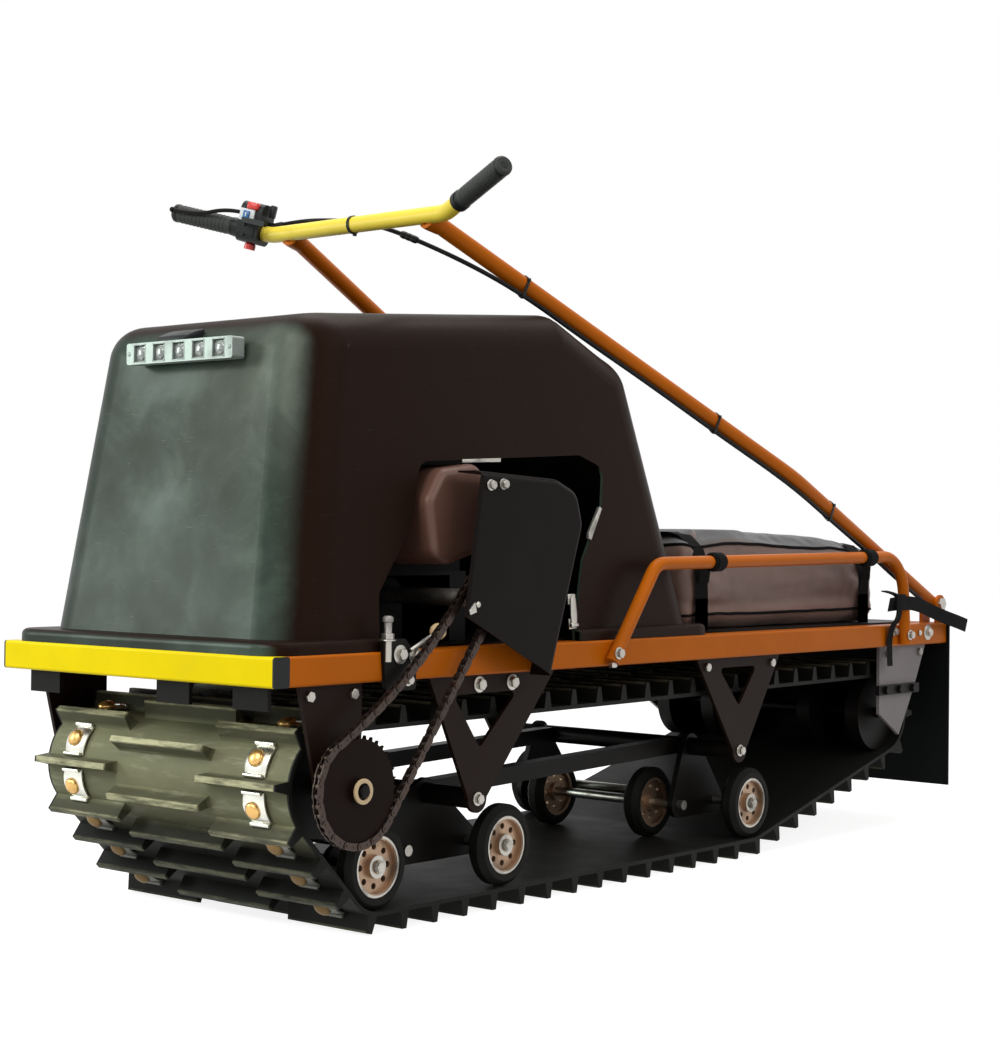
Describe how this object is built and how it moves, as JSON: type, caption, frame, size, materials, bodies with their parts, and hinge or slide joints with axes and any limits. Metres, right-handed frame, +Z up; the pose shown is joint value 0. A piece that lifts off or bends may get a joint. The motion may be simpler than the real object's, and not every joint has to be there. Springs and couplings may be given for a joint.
{
  "type": "tracked snow tug",
  "caption": "Tracked snow tug with a wide rubber track, orange steel frame, black engine hood, cargo deck with a strapped bag, and a fold-over handlebar.",
  "frame": {"origin": "on the ground under the middle of the overall length and width", "axes": "+X is forward, the way the tug drives; +Y is its left; +Z is up"},
  "size_m": [1.845, 0.6984, 1.0698],
  "materials": {
    "frame_paint": "satin orange paint, chipped at edges",
    "front_paint": "satin yellow paint",
    "bar_paint": "satin yellow paint",
    "dark_plastic": "satin black moulding",
    "red_plastic": "gloss red button",
    "hood_plastic": "black moulded shell with soft sheen",
    "black_steel": "semi-gloss black paint",
    "hanger_paint": "dark brown-black paint",
    "guard_paint": "satin black sheet",
    "plate_grey": "grey zinc-rich coat",
    "lamp_housing": "cast silver housing",
    "engine_iron": "dark grey casting",
    "sprocket_steel": "dark oiled steel",
    "chain_steel": "oiled roller chain",
    "bare_steel": "bright zinc",
    "disc_gold": "yellow-passivated pressed steel",
    "roller_rubber": "black rubber tread",
    "track_rubber": "moulded black rubber",
    "bag_vinyl": "coated brown-grey fabric",
    "webbing": "black webbing",
    "flap_rubber": "black rubber sheet",
    "grip_rubber": "soft black rubber",
    "cable_rubber": "black cable sheath"
  },
  "bodies": {
    "chassis": {"axle_bearings": "engine_iron", "bag_straps": "webbing", "beam_caps": "dark_plastic", "bearing_plates": "hanger_paint", "belt_guard": "guard_paint", "cargo_bag": "bag_vinyl", "cargo_rail_left": "frame_paint", "cargo_rail_right": "frame_paint", "chain_adjuster": "black_steel", "cross_members": "frame_paint", "drive_axle": "black_steel", "drive_chain": "chain_steel", "drive_sprocket": "sprocket_steel", "engine": "engine_iron", "engine_mount": "black_steel", "flap_clamp": "black_steel", "floor_plates": "black_steel", "front_beam": "front_paint", "front_brackets": "black_steel", "handle_ears": "frame_paint", "hanger_front": "hanger_paint", "hanger_rear": "hanger_paint", "hinge_pins": "bare_steel", "hood": "hood_plastic", "idler_axle": "black_steel", "jackshaft": "bare_steel", "jackshaft_bearings": "engine_iron", "light_bar": "lamp_housing", "mud_flap": "flap_rubber", "pivot_bars": "black_steel", "pulley_housing": "black_steel", "rear_beam": "frame_paint", "roller_axles": "bare_steel", "roller_discs": "disc_gold", "roller_tyres": "roller_rubber", "shift_lever": "bare_steel", "side_beam_left": "frame_paint", "side_beam_right": "frame_paint", "suspension_rails": "black_steel", "swing_plates": "black_steel", "tension_plates": "plate_grey", "tensioners": "black_steel", "tow_hitch": "black_steel", "track": "track_rubber"},
    "handle": {"control_cable": "cable_rubber", "grip_left": "grip_rubber", "grip_right": "grip_rubber", "handle_tube_left": "frame_paint", "handle_tube_right": "frame_paint", "handlebar": "bar_paint", "stop_switch": "red_plastic", "throttle_housing": "dark_plastic", "throttle_lever": "dark_plastic"}
  },
  "joints": [
    {"name": "handle_fold", "type": "hinge", "parent": "chassis", "child": "handle", "pos_m": [-0.8575, 0, 0.422], "axis": [0, -1, 0], "range_deg": [0, 130]}
  ]
}
